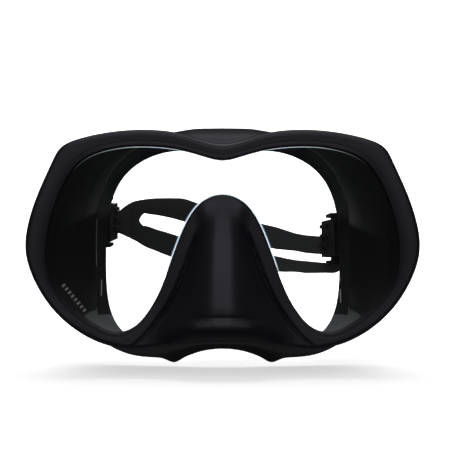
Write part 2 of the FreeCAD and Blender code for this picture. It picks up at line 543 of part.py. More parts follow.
def strap_end(side):
    """Tail in front of the rear post, round the roller, out of the buckle and up to the head strap."""
    cx, cy = ROLL_C
    r = ROLL_R + 0.05 + STRAP_T / 2
    path = [(cx - r, 40.4), (cx - r, 34.0), (cx - r, 27.0), (cx - r, 20.0)]
    path += [(cx - r * math.cos(math.pi * k / 10), cy - r * math.sin(math.pi * k / 10)) for k in range(0, 11)]
    path += [(cx + r, 20.0), (cx + r, 28.0), (cx + r, 37.2)]
    wires = []
    n = len(path)
    for i, (x, y) in enumerate(path):
        a, b = path[max(0, i - 1)], path[min(n - 1, i + 1)]
        tx, ty = b[0] - a[0], b[1] - a[1]
        ln = math.hypot(tx, ty)
        nx, ny = -ty / ln * STRAP_T / 2, tx / ln * STRAP_T / 2
        c = [(x + nx, y + ny, -6.5), (x + nx, y + ny, 6.5), (x - nx, y - ny, 6.5), (x - nx, y - ny, -6.5)]
        q = [local_to_row(p, side) for p in c]
        wires.append(Part.makePolygon(q + [q[0]]))
    sx = -1 if side == "left" else 1
    if side == "left":
        free = [(65.9, 44.4, 2.4, 15.4), (64.8, 46.6, 2.4, 15.3), (62.6, 48.1, 2.4, 15.0), (59.4, 48.8, 2.5, 14.5), (56.0, 49.1, 2.3, 14.6),
                (53.0, 49.4, 1.0, 16.8), (50.4, 49.78, -0.2, 18.5)]
    else:
        free = [(61.9, 43.6, -8.2, 4.8), (62.7, 46.2, -10.2, 3.4), (63.9, 48.8, -13.2, 2.0), (63.6, 51.4, -16.8, 0.9), (60.8, 53.15, -19.1, 0.4)]
    # the free part runs on from the buckle's rear
    prev = wires[-1].Vertexes
    mid = V(0, 0, 0)
    for p in prev[:4]:
        mid = mid + p.Point
    mid = mid * 0.25
    pts = [(abs(mid.x), mid.y)] + [(p[0], p[1]) for p in free]
    for i, (x, y, z0, z1) in enumerate(free):
        a, b = pts[i], pts[min(len(pts) - 1, i + 2)]
        tx, ty = b[0] - a[0], b[1] - a[1]
        ln = math.hypot(tx, ty)
        nx, ny = -ty / ln * STRAP_T / 2, tx / ln * STRAP_T / 2
        q = [V(sx * (x + nx), y + ny, z0), V(sx * (x + nx), y + ny, z1), V(sx * (x - nx), y - ny, z1), V(sx * (x - nx), y - ny, z0)]
        wires.append(Part.makePolygon(q + [q[0]]))
    return Part.makeLoft(wires, True, True)


parts["strap_end_left"] = strap_end("left")
parts["strap_end_right"] = strap_end("right")

for name, s in parts.items():
    if s.ShapeType == "Compound" and len(s.Solids) == 1:
        s = s.Solids[0]
    print(name, s.ShapeType, len(s.Solids), round(s.Volume, 1), s.isValid())
    s.exportStep("parts/%s.step" % name)
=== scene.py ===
import bpy, bmesh
import json
import math
import numpy as np
from mathutils import Vector, Matrix


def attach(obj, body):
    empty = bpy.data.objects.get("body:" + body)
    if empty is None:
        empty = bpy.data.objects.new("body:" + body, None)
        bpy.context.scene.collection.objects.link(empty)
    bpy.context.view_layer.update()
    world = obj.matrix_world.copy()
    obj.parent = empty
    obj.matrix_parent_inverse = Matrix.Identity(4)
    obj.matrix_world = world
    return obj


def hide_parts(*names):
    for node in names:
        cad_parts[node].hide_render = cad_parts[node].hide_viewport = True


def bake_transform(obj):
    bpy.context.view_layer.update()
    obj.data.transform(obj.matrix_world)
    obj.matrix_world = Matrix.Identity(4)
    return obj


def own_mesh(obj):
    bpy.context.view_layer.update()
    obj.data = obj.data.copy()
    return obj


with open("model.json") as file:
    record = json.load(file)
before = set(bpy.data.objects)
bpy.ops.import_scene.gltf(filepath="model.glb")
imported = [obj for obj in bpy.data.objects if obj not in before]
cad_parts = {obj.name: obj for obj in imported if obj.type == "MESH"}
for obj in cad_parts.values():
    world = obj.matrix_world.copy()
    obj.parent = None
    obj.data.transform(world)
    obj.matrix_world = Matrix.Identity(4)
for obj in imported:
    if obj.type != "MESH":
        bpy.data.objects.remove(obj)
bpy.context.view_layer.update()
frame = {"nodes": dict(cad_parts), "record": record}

# sizes shared with the CAD part, in mm
SEAL_MID_Y, SEAL_RADIUS, WALL = -14.0, 153.0, 2.2
LENS_FRONT, LENS_BACK = -70.5, -67.0
POST_Y, POST_Z = -32.0, 4.0
PIN_X, PIN_Y = 79.5, 6.5
TILT = {"left": 4.0, "right": -4.0}
FOLD = {"left": 5.5, "right": 12.0}
ROLL_C, ROLL_R, STRAP_T = (-13.5, 18.0), 2.75, 2.0


# ---------------------------------------------------------------- rails
# Half contours, top centre -> round the right side -> bottom centre, (x, z) in mm.
# LENS_OPEN: edge of the silicone that frames the glass, nose arch included.
LENS_OPEN = [(0, 36.2), (4.5, 36.8), (11, 38.7), (20.2, 41.0), (31.5, 42.3), (43, 42.2), (53, 40.6), (61, 37.6), (66.8, 33.0),
             (71, 27), (74.5, 19.8), (77.3, 11.5), (79.2, 2.2), (79.8, -7.5), (78.3, -16.3), (74.9, -23.6), (69.6, -29.9), (63.2, -35.2),
             (57, -39), (50.8, -41.5), (44.6, -41.4), (39.2, -38.6), (34.8, -33.8), (30.7, -27.3), (27.0, -19.4), (23.3, -10),
             (19.2, -0.5), (15, 9.1), (10.6, 15.8), (5.5, 19.5), (0, 20.6)]
# RIM: outer edge of the front rim; under the nose it is the lower front edge of the pocket.
RIM = [(0, 43.5), (5.5, 44.2), (13, 46.4), (21, 48.9), (31, 50.2), (43.5, 50.1), (55.5, 48.6), (65.7, 46.2), (73.3, 42.7),
       (77.1, 37.2), (80.1, 30.7), (84.9, 19.7), (88.7, 7.7), (90.0, -3.5), (87.9, -13.7), (83.7, -22.7), (78.0, -31.0), (70.5, -38.4),
       (62.2, -44.0), (54.1, -47.6), (46, -49.6), (39.5, -50.0), (33, -49.4), (27.5, -48.4), (22.6, -47.4), (18, -46.5),
       (13.6, -45.9), (9.4, -45.5), (6, -45.3), (3, -45.2), (0, -45.2)]
RIM_Y = [-70.3, -70.2, -69.9, -69.5, -69.3, -69.2, -69.0, -69.0, -69.0,
         -69.0, -69.0, -69.0, -69.0, -69.0, -69.0, -69.0, -69.0, -69.0,
         -69.0, -68.6, -67.6, -67.0, -67.5, -69.0, -70.8, -72.2,
         -73.2, -73.8, -74.0, -74.1, -74.1]
# OUT1..: outer wall contours at growing depth
OUT_A = [(0, 48.9), (6, 49.2), (14, 49.5), (22.5, 49.2), (32, 48.3), (42.5, 46.9), (52.8, 45.0), (61.6, 42.0), (69, 37.6),
         (74, 31.2), (78.2, 22.8), (81.6, 13), (83.7, 2.8), (84.3, -7.6), (82.8, -17.2), (79.1, -25.6), (73.4, -32.4), (66.5, -38.2),
         (59.5, -42.9), (52.5, -46.8), (45.5, -49.2), (39, -50.3), (33, -50.2), (27.5, -49.6), (22.6, -48.8), (18, -48.1),
         (13.6, -47.6), (9.4, -47.3), (6, -47.1), (3, -47.0), (0, -47.0)]
OUT_B = [(0, 53.2), (7, 53.1), (15, 52.6), (24, 50.6), (33.2, 49.2), (43, 47.4), (52.4, 44.8), (60.4, 41.0), (66.8, 35.8),
         (71.6, 29.4), (75.6, 21.3), (78.6, 12), (80.4, 2.2), (80.9, -8.0), (79.6, -17.8), (76.2, -26.6), (71, -33.9), (64.6, -40.0),
         (58.2, -44.8), (51.8, -48.6), (45.4, -51.0), (39.4, -52.0), (33.8, -52.1), (28.3, -51.7), (23.2, -51.0), (18.4, -50.2),
         (13.9, -49.6), (9.8, -49.2), (6.2, -49.0), (3.1, -48.9), (0, -48.9)]
OUT_C = [(0, 52.0), (7.5, 51.8), (15.8, 50.9), (24.6, 50.0), (34, 49.2), (43.4, 47.4), (51.2, 43.4), (57.8, 38.7), (62.8, 33.0),
         (66.5, 26.6), (69.6, 19), (71.8, 10.6), (73, 1.2), (73.3, -8.8), (72.3, -18.8), (70.0, -28.4), (67.2, -37.0), (63.4, -44.0),
         (58.0, -49.4), (51.6, -52.8), (45.0, -54.6), (38.9, -55.0), (33.6, -55.2), (28.4, -54.9), (23.4, -54.0), (18.6, -52.8),
         (14.1, -51.8), (9.9, -51.2), (6.3, -50.9), (3.1, -50.8), (0, -50.8)]
OUT_D = [(0, 49.6), (7.6, 49.6), (16, 49.5), (25, 49.3), (34.8, 48.7), (43.9, 46.9), (51.2, 41.7), (56.6, 35.8), (59.9, 30.0),
         (62.2, 24.4), (64.2, 18.1), (65.2, 9.6), (65.5, 0.6), (65.5, -8.8), (65.4, -18.6), (65.3, -28.0), (65.1, -37.3), (62.7, -45.0),
         (58.0, -50.4), (51.5, -53.9), (44.6, -55.4), (38.2, -56.0), (32.8, -56.0), (27.8, -55.3), (23.2, -54.2), (18.8, -52.4),
         (14.3, -50.9), (10, -50.0), (6.4, -49.6), (3.2, -49.4), (0, -49.4)]
# LIP_OUT: tip of the outer sealing lip
LIP_OUT = [(0, 52.4), (8, 52.4), (16.8, 52.0), (25.8, 51.6), (35, 50.8), (44.2, 48.9), (52.0, 45.0), (58.2, 39.8), (62.8, 33.8),
           (66.0, 26.8), (68.5, 18.8), (70.2, 10), (71, 0.6), (71.1, -9.2), (70.3, -19.4), (68.4, -29.2), (66.2, -38.4), (63.2, -46.6),
           (58.6, -52.4), (52.5, -55.8), (46.2, -57.8), (40.2, -58.7), (34.4, -59.0), (29.2, -59.6), (24.2, -61.2), (19.6, -59.1),
           (14.8, -57.0), (10.4, -55.6), (6.6, -54.9), (3.3, -54.5), (0, -54.4)]
# LIP_IN: tip of the inner sealing lip, the opening the face looks through
LIP_IN = [(0, 42.8), (6.6, 42.9), (13.8, 43.2), (20.8, 43.4), (27.2, 42.9), (33.6, 41.3), (39.8, 38.6), (45.4, 34.8), (50, 30.0),
          (53.4, 24.4), (55.9, 17.6), (57.6, 9.6), (58.4, 0.8), (58.6, -8.6), (58.5, -18.4), (57.9, -27.4), (56.4, -35.2), (53.6, -41.8),
          (49.8, -46.4), (45.2, -49.2), (40, -50.4), (34.8, -50.2), (30, -48.8), (25.6, -46.6), (21.6, -44.2), (17.6, -42.2),
          (13.6, -40.8), (9.8, -40.0), (6.4, -39.6), (3.2, -39.4), (0, -39.4)]
N_HALF = 30
N_ST = 60


def full(half):
    """Closed list of 60 stations: 0 top centre, 30 bottom centre, then the mirrored side."""
    return list(half) + [(-half[60 - k][0], half[60 - k][1]) for k in range(31, 60)]


def full1(half):
    return list(half) + [half[60 - k] for k in range(31, 60)]


RAILS = {n: full(v) for n, v in dict(A=LENS_OPEN, R=RIM, TA=OUT_A, TB=OUT_B, TC=OUT_C, TD=OUT_D, LO=LIP_OUT, LI=LIP_IN).items()}
RAIL_RY = full1(RIM_Y)


def basis(t):
    return ((1 - t) ** 3 / 6, (3 * t ** 3 - 6 * t ** 2 + 4) / 6, (-3 * t ** 3 + 3 * t ** 2 + 3 * t + 1) / 6, t ** 3 / 6)


def poles_of(values):
    """Control values of the closed uniform cubic spline that passes through values."""
    n = len(values)
    p = list(values)
    for _ in range(60):
        p = [(6 * values[i] - p[i - 1] - p[(i + 1) % n]) / 4 for i in range(n)]
    return p


CTRL = {n: ([*poles_of([p[0] for p in v])], [*poles_of([p[1] for p in v])]) for n, v in RAILS.items()}
CTRL_RY = poles_of(RAIL_RY)


def spl(c, u):
    n = len(c)
    i = int(math.floor(u))
    t = u - i
    b = basis(t)
    return b[0] * c[(i - 1) % n] + b[1] * c[i % n] + b[2] * c[(i + 1) % n] + b[3] * c[(i + 2) % n]


def rail(name, u):
    cx, cz = CTRL[name]
    return spl(cx, u), spl(cz, u)


def normal(name, u):
    """Outward normal of a rail in the (x, z) plane."""
    e = 0.05
    a, b = rail(name, u - e), rail(name, u + e)
    dx, dz = b[0] - a[0], b[1] - a[1]
    n = math.hypot(dx, dz)
    return -dz / n, dx / n      # rails run clockwise seen from the front, so this points out of the loop


def off(name, u, d):
    x, z = rail(name, u)
    nx, nz = normal(name, u)
    return x + nx * d, z + nz * d


# ---------------------------------------------------------------- small maths
def smooth(t):
    t = max(0.0, min(1.0, t))
    return t * t * (3 - 2 * t)


def curve(tab, t):
    """Smooth value of a table of (t, value) pairs, t rising."""
    if t <= tab[0][0]:
        return tab[0][1]
    if t >= tab[-1][0]:
        return tab[-1][1]
    i = 0
    while tab[i + 1][0] < t:
        i += 1

    def slope(j):
        if j <= 0 or j >= len(tab) - 1:
            return 0.0
        return (tab[j + 1][1] - tab[j - 1][1]) / (tab[j + 1][0] - tab[j - 1][0])
    h = tab[i + 1][0] - tab[i][0]
    s = (t - tab[i][0]) / h
    return ((2 * s ** 3 - 3 * s ** 2 + 1) * tab[i][1] + (s ** 3 - 2 * s ** 2 + s) * h * slope(i)
            + (-2 * s ** 3 + 3 * s ** 2) * tab[i + 1][1] + (s ** 3 - s ** 2) * h * slope(i + 1))


def rear_y(x):
    return SEAL_MID_Y + SEAL_RADIUS - math.sqrt(SEAL_RADIUS ** 2 - x * x)


# nose pocket: half width of the groove beside it, and height of its ridge, against z
NOSE_HALF = [(-50.0, 42.0), (-46.8, 39.0), (-43.6, 35.4), (-36.3, 29.5), (-27.2, 23.5), (-14.8, 17.8), (-2.7, 13.3), (7.7, 8.9),
             (11.2, 5.0), (12.4, 0.6), (13.0, 0.05)]
NOSE_RIDGE = [(-52.0, 3.0), (-46.2, 6.5), (-43.0, 12.0), (-40.5, 14.9), (-38.0, 15.6), (-35.5, 15.1), (-33.0, 14.8), (-30.0, 14.5),
              (-20.0, 12.4), (-10.0, 9.7), (0.0, 6.5), (8.0, 3.0), (12.5, 0.4), (14.0, 0.0)]
NOSE_ROUND = 8.0           # rounding of the ridge
NOSE_FLAT = 2.8            # half width of its flat crest


def nose_fall(x, g):
    """1 on the crest of the nose pocket, 0 at its foot."""
    c = min(NOSE_FLAT, 0.22 * g)
    a, b, r = max(0.0, abs(x) - c), g - c, NOSE_ROUND
    return 1.0 - (math.sqrt(a * a + r * r) - r) / (math.sqrt(b * b + r * r) - r)


def nose_height(x, z):
    """How far the nose pocket stands forward of the front band."""
    if z > 13.0:
        return 0.0
    g = curve(NOSE_HALF, z)
    t = abs(x) / g
    groove = 0.6 * smooth((9.0 - z) / 9.0)
    if t < 1.0:
        return curve(NOSE_RIDGE, z) * nose_fall(x, g) - groove * smooth(2 * t - 1)
    return -groove * (1 - smooth((abs(x) - g) / 2.2))


def front_point(u, f):
    """Front face of the silicone, f = 0 at the glass and 1 at the outer edge."""
    xa, za = rail("A", u)
    xr, zr = rail("R", u)
    length = math.hypot(xr - xa, zr - za)
    x, z = xa + (xr - xa) * f, za + (zr - za) * f
    y = -71.2 - 1.1 * smooth(f * length / 0.9) - nose_height(x, z)
    q = 1 - (1 - f) * length / 2.6
    if q > 0:
        e = 1 - math.sqrt(max(0.0, 1 - q * q))
        y = y * (1 - e) + spl(CTRL_RY, u) * e
    return (x, y, z)


def noseness(u):
    k = u % N_ST
    k = min(k, N_ST - k)
    return smooth((k - 19.0) / 4.0)


def at(name, u, d, y):
    x, z = off(name, u, d)
    return (x, y, z)


def lerp3(a, b, t):
    return tuple(a[i] + (b[i] - a[i]) * t for i in range(3))


# ---------------------------------------------------------------- skirt
def skirt_rows(u):
    """Control rows round the section at station u, in patches that meet at sharp edges."""
    ry = spl(CTRL_RY, u)
    w = noseness(u)
    xa, za = rail("A", u)
    xr, zr = rail("R", u)
    length = math.hypot(xr - xa, zr - za)
    front = [front_point(u, f) for f in (0.0, 0.06, 0.16, 0.3, 0.42, 0.54, 0.66, 0.76, 0.85, 0.93, 1.0)]
    r, ta, lo, li, td = (rail(n, u) for n in ("R", "TA", "LO", "LI", "TD"))
    mix = lambda p, q, t: (p[0] + (q[0] - p[0]) * t, p[1] + (q[1] - p[1]) * t)
    p3 = lambda p, y: (p[0], y, p[1])
    outer = [front[-1], p3(off("R", u, -0.2), ry + 2.4), p3(mix(r, ta, 0.4), ry + 4.4), p3(ta, ry + 6.8), p3(rail("TB", u), -51.0),
             p3(rail("TC", u), -31.0), p3(td, rear_y(td[0]) - 9.0), p3(mix(td, lo, 0.6), rear_y(lo[0]) - 4.4), p3(lo, rear_y(lo[0]) - 0.9)]
    lob = off("LO", u, -0.5)
    tip1 = [outer[-1], p3(lob, rear_y(lob[0]) + 0.1)]
    rear = [tip1[-1]] + [p3(mix(lob, li, t), rear_y(mix(lob, li, t)[0]) + 0.25) for t in (0.3, 0.65)] + [p3(li, rear_y(li[0]))]
    lib = off("LI", u, 0.2)
    tip2 = [rear[-1], p3(lib, rear_y(lib[0]) - 0.9)]
    wr = off("TD", u, -WALL - 0.4)
    under = [tip2[-1], p3(mix(lib, wr, 0.6), rear_y(lib[0]) - 2.4), p3(off("TD", u, -WALL), rear_y(wr[0]) - 5.4), p3(wr, rear_y(wr[0]) - 10.0),
             p3(off("TC", u, -WALL), -31.0), p3(off("TB", u, -WALL), -51.0), p3(off("TA", u, -WALL), max(ry + 7.4, -62.0))]

    def inner(d_rim, y_rim, d_nose, lift):
        a = at("A", u, d_rim, y_rim)
        if w <= 0:
            return a
        f = d_nose / length
        b = front_point(u, f)
        return lerp3(a, (b[0], b[1] + lift, b[2]), w)
    span = max(0.5, length - 9.6)
    under += [inner(2.5, -64.4, length - 2.6, 4.2), inner(2.4, -65.2, 6.8 + span * 0.75, 2.5), inner(2.0, -65.7, 6.8 + span * 0.5, 2.4),
              inner(1.6, -65.9, 6.8 + span * 0.25, 2.4), inner(1.2, -66.0, 6.6, 3.0),
              lerp3(at("A", u, 0.9, -66.0), at("A", u, 5.0, -65.9), w), at("A", u, 0.3, -66.0)]
    g = [at("A", u, 0.3, LENS_BACK), at("A", u, 4.2, LENS_BACK), at("A", u, 4.2, LENS_FRONT), at("A", u, 0.0, LENS_FRONT)]
    return [front, outer, tip1, rear, tip2, under, [under[-1], g[0]], [g[0], g[1]], [g[1], g[2]], [g[2], g[3]], [g[3], front[0]]]


# ---------------------------------------------------------------- mesh helpers
def new_object(name, verts, faces, smooth_shade=True):
    me = bpy.data.meshes.new(name)
    me.from_pydata([tuple(c * 0.001 for c in v) for v in verts], [], faces)
    me.validate()
    me.update()
    ob = bpy.data.objects.new(name, me)
    bpy.context.scene.collection.objects.link(ob)
    if smooth_shade:
        me.polygons.foreach_set("use_smooth", [True] * len(me.polygons))
    return ob


def bake_modifiers(ob):
    dg = bpy.context.evaluated_depsgraph_get()
    me = bpy.data.meshes.new_from_object(ob.evaluated_get(dg))
    ob.modifiers.clear()
    old = ob.data
    ob.data = me
    bpy.data.meshes.remove(old)
    return ob


def bspline(ctrl, n):
    """n + 1 points along the clamped cubic B-spline of the control points."""
    m = len(ctrl)
    deg = min(3, m - 1)
    knots = [0.0] * deg + [float(i) for i in range(m - deg + 1)] + [float(m - deg)] * deg
    out = []
    for k in range(n + 1):
        t = (m - deg) * k / n
        s = min(int(t), m - deg - 1) + deg
        d = [ctrl[j + s - deg] for j in range(deg + 1)]
        for r in range(1, deg + 1):
            for j in range(deg, r - 1, -1):
                a0, a1 = knots[j + s - deg], knots[j + 1 + s - r]
                al = 0.0 if a1 == a0 else (t - a0) / (a1 - a0)
                d[j] = tuple((1 - al) * d[j - 1][c] + al * d[j][c] for c in range(3))
        out.append(d[deg])
    return out


# ---------------------------------------------------------------- skirt
def nose_detail(x, z):
    """Extra relief on the front: the thin rib inside the groove, the crease and the soft roll under it."""
    h = 0.0
    if z < 13.5:
        g = curve(NOSE_HALF, z)
        d = abs(x) - g
        fade = smooth((8.0 - z) / 9.0)
        h += fade * (0.30 * math.exp(-((d + 1.6) / 0.6) ** 2) - 0.36 * math.exp(-(d / 0.65) ** 2))
    ax = abs(x)
    zc = -34.6 - 0.05 * max(0.0, ax - 8.0) ** 1.7
    dz = z - zc
    if ax < 32 and -14 < dz < 5:
        h -= 0.50 * (1 - smooth((ax - 11.0) / 9.0)) * math.exp(-(dz / 0.9) ** 2)
        h += 0.35 * (1 - smooth((ax - 13.0) / 8.0)) * math.exp(-((dz + 5.0) / 2.4) ** 2)
        # the roll is broad: it keeps its height out to the sides
        f = nose_fall(x, curve(NOSE_HALF, z))
        flat = 1.0 - 0.08 * (ax / 12.0) ** 2
        h += curve(NOSE_RIDGE, z) * max(0.0, flat - f) * (1 - smooth((ax - 11.5) / 7.0)) * smooth(-dz / 4.0) * smooth((z + 47.0) / 5.0)
    # faint step where the ridge starts under the arch, and the arch leaning back towards its top
    if ax < 14 and z > -2:
        h += 0.08 * (1 - smooth((ax - 4.0) / 4.0)) * smooth((12.2 - z) / 0.9) * smooth((z - 2) / 8.0)
        h += 1.5 * smooth((21.0 - z) / 9.5) * smooth((z + 1.0) / 12.0) * (1 - smooth((ax - 7.0) / 6.0))
    return h


def front_visual(u, f):
    x, y, z = front_point(u, f)
    xa, za = rail("A", u)
    xr, zr = rail("R", u)
    length = math.hypot(xr - xa, zr - za)
    d = f * length
    y -= nose_detail(x, z) * (1 - smooth((f - 0.93) / 0.07))
    # faint line just inside the edge of the front band
    y += 0.05 * math.exp(-((d - 2.4) / 0.5) ** 2) * smooth(d / 0.8)
    return (x, y, z)


def lip_reach(u):
    """How much further the soft lip reaches over the glass beside the bridge of the nose."""
    x, z = rail("A", u)
    kk = min(u % 60, 60 - u % 60)
    return 1.0 * smooth((kk - 21.0) / 4.0) * smooth((abs(x) - 5.0) / 6.0) * math.exp(-((z - 3.0) / 13.0) ** 2)


def fr_samples(n):
    return [k / n - 0.055 * math.sin(2 * math.pi * k / n) for k in range(n + 1)]


def skirt_section(u):
    pats = skirt_rows(u)
    counts = [None, 60, 2, 12, 2, 84, 1, 3, 3, 3, 2]
    pts = []
    (xa, za), (xr, zr) = rail("A", u), rail("R", u)
    brim = 1.0 - 0.55 / math.hypot(xr - xa, zr - za)
    span = math.hypot(xr - xa, zr - za)
    xo, zo = off("A", u, -lip_reach(u))
    for f in fr_samples(96):
        x, y, z = front_visual(u, f)
        w = max(0.0, 1 - f * span / 4.0) ** 2
        # painted light and shade on the front band, in small steps: at the sides it is darker towards the glass and
        # lighter and glossier towards its edge, and it is lighter along the bottom away from the nose
        painted_light_level = smooth((abs(xa) - 50.0) / 18.0) * (0.22 - 0.64 * (1 - smooth(f / 0.66)))
        painted_light_level += 0.42 * smooth((-za - 18.0) / 16.0) * smooth((abs(xa) - 24.0) / 10.0)
        level = max(-6, min(8, int(round(painted_light_level / 0.075))))
        zone = "brim" if f > brim and zr > 40 and abs(xr) < 24 else ("front%d" % level if level else "front")
        pts.append((zone, (x + (xo - xa) * w, y, z + (zo - za) * w)))
    names = ["front", "outer", "lip", "rear", "lip", "inner", "groove", "groove", "groove", "groove", "groove"]
    for i in range(1, len(pats)):
        if i == 5:
            # the lip runs up to a folded edge, a narrow bead stands on the fold, then the side wall starts
            c = pats[i]
            wr = off("TD", u, -WALL - 0.45)
            wi = off("TD", u, -WALL - 0.85)
            fy = rear_y(wr[0]) - 10.4
            bead = (wi[0], fy - 0.1, wi[1])
            fold = (wr[0] + (c[1][0] - wr[0]) * 0.06, fy + 0.45, wr[1] + (c[1][2] - wr[1]) * 0.06)
            back = (wr[0], fy - 0.75, wr[1])
            mid = tuple(c[1][k] + (fold[k] - c[1][k]) * 0.5 for k in range(3))
            flap = [c[0], c[1], mid, fold]
            wall = [back, (wr[0], fy - 2.0, wr[1]), (c[3][0], c[3][1] - 3.8, c[3][2])] + c[4:]
            pts.extend(("lip", p) for p in bspline(flap, 26)[1:])
            pts.extend(("bead", p) for p in bspline([fold, bead, back], 4)[1:])
            pts.extend(("inner", p) for p in bspline(wall, 70)[1:])
            continue
        s = bspline(pats[i], counts[i])
        pts.extend((names[i], p) for p in s[1:])
    return pts[:-1]


def skirt_object():
    nu = 440
    verts, faces = [], []
    nv = None
    zones = []
    for k in range(nu):
        sec = skirt_section(60.0 * k / nu)
        nv = len(sec)
        zones.append([zn for zn, p in sec])
        for zone, (x, y, z) in sec:
            if zone == "outer" and abs(x) > 55:
                r = math.hypot(y - POST_Y, z - POST_Z)
                w = 1 - smooth((r - 10.2) / 2.6)
                if w > 0 and abs(x) < 79.4:
                    sx = 1 if x > 0 else -1
                    x = sx * (abs(x) + (79.4 - abs(x)) * w)
            if zone == "inner" and abs(x) > 45 and y > -60:
                # pad behind the strap post, with a small moulding dimple
                wz = smooth((z + 36.0) / 4.0) * smooth((13.0 - z) / 7.0)
                wy = smooth((y + 56) / 6) * smooth((-11 - y) / 5)
                sx = 1 if x > 0 else -1
                x -= sx * 0.7 * wz * wy
                r = math.hypot(y + 34.0, z - 6.0)
                x += sx * 1.0 * (1 - smooth(r / 1.5))
            verts.append((x, y, z))
    for k in range(nu):
        k2 = (k + 1) % nu
        for v in range(nv):
            v2 = (v + 1) % nv
            faces.append((k * nv + v, k * nv + v2, k2 * nv + v2, k2 * nv + v))
    ob = new_object("skirt_moulding", verts, faces)
    slot_of = {"lip": 1, "rear": 0, "bead": 2, "inner": 3, "brim": 4}
    slot_of.update({"front%d" % k: 5 + n for n, k in enumerate(SHADES)})
    ob.data.polygons.foreach_set("material_index", [slot_of.get(zones[k][(v + 1) % nv], 0) for k in range(nu) for v in range(nv)])
    bm = bmesh.new()
    bm.from_mesh(ob.data)
    bmesh.ops.recalc_face_normals(bm, faces=bm.faces)
    for e in bm.edges:
        e.smooth = e.calc_face_angle(0.0) < math.radians(50)
    bm.to_mesh(ob.data)
    bm.free()
    return ob


# ---------------------------------------------------------------- strap
BANDS = [
    (-50.3, 49.8, 9.6, 18.5, -0.2, 9.4), (-47.2, 50.6, 10.2, 19.8, -1.8, 9.0),
    (-41.9, 51.3, 12.7, 20.8, -5.0, 6.8), (-36.5, 52.0, 12.2, 21.3, -7.2, 4.6), (-31.1, 52.5, 11.2, 21.4, -9.4, 3.1),
    (-25.8, 52.9, 10.0, 21.4, -11.3, 1.4), (-20.4, 53.4, 8.5, 20.9, -12.8, -0.3), (-10.5, 54.2, 5.1, 17.4, -14.3, -2.6),
    (0.0, 55.0, 1.6, 13.9, -15.7, -4.7), (10.4, 55.2, -1.8, 10.8, -17.0, -6.8), (20.8, 55.3, -4.7, 7.6, -18.0, -8.9),
    (28.5, 55.5, -6.3, 5.8, -18.5, -10.0), (33.9, 55.4, -6.8, 4.1, -18.7, -11.2), (39.3, 55.2, -7.3, 2.4, -18.7, -12.2),
    (44.7, 55.1, -8.4, 1.4, -19.3, -12.7), (50.1, 54.4, -8.9, 0.9, -19.3, -13.2), (55.5, 54.2, -9.2, 0.6, -19.2, -13.7),
    (60.7, 53.2, -9.6, 0.4, -19.1, -14.0)]
FREE = {"left": [(65.9, 44.4, 2.4, 15.4), (64.8, 46.6, 2.4, 15.3), (62.6, 48.1, 2.4, 15.0), (59.4, 48.8, 2.5, 14.5), (56.0, 49.1, 2.3, 14.6),
                 (53.0, 49.4, 1.0, 16.8)],
        "right": [(61.9, 43.6, -8.2, 4.8), (62.7, 46.2, -10.2, 3.4), (63.9, 48.8, -13.2, 2.0), (63.6, 51.4, -16.8, 0.9)]}


def place_point(p, side, folded=True):
    x, y, z = p
    if folded:
        a = math.radians(FOLD[side])
        x, y = x * math.cos(a) - y * math.sin(a), x * math.sin(a) + y * math.cos(a)
    x, y, z = x + PIN_X, y + PIN_Y, z + POST_Z
    a = math.radians(TILT[side])
    dy, dz = y - POST_Y, z - POST_Z
    y, z = POST_Y + dy * math.cos(a) - dz * math.sin(a), POST_Z + dy * math.sin(a) + dz * math.cos(a)
    return Vector((-x if side == "left" else x, y, z))


def strap_stations(side):
    """From the free tail end to the middle of the head strap: bottom and top edge points, slot low and high as shares."""
    cx, cy = ROLL_C
    r = ROLL_R + 0.05 + STRAP_T / 2
    path = [(cx - r, 40.2), (cx - r, 37.0), (cx - r, 34.0), (cx - r, 30.0), (cx - r, 26.0), (cx - r, 22.0)]
    path += [(cx - r * math.cos(math.pi * k / 8), cy - r * math.sin(math.pi * k / 8)) for k in range(0, 9)]
    path += [(cx + r, 22.0), (cx + r, 26.0), (cx + r, 30.0), (cx + r, 34.0), (cx + r, 37.2)]
    st = []
    for x, y in path:
        st.append((place_point((x, y, -6.5), side), place_point((x, y, 6.5), side), None))
    sx = -1 if side == "left" else 1
    for x, y, z0, z1 in FREE[side]:
        st.append((Vector((sx * x, y, z0)), Vector((sx * x, y, z1)), None))
    if side == "left":
        rows = [b for b in BANDS if b[0] <= 0.01]
    else:
        rows = [b for b in reversed(BANDS) if b[0] >= -0.01]
    for x, y, ul, uh, ll, lh in rows:
        slot = (lh, ul) if (ul - lh) > 1.5 else None
        st.append((Vector((x, y, ll)), Vector((x, y, uh)), slot))
    return st


def catmull(pts, i, t):
    n = len(pts)
    p0, p1, p2, p3 = pts[max(0, i - 1)], pts[i], pts[min(n - 1, i + 1)], pts[min(n - 1, i + 2)]
    return 0.5 * ((2 * p1) + (-p0 + p2) * t + (2 * p0 - 5 * p1 + 4 * p2 - p3) * t * t + (-p0 + 3 * p1 - 3 * p2 + p3) * t ** 3)


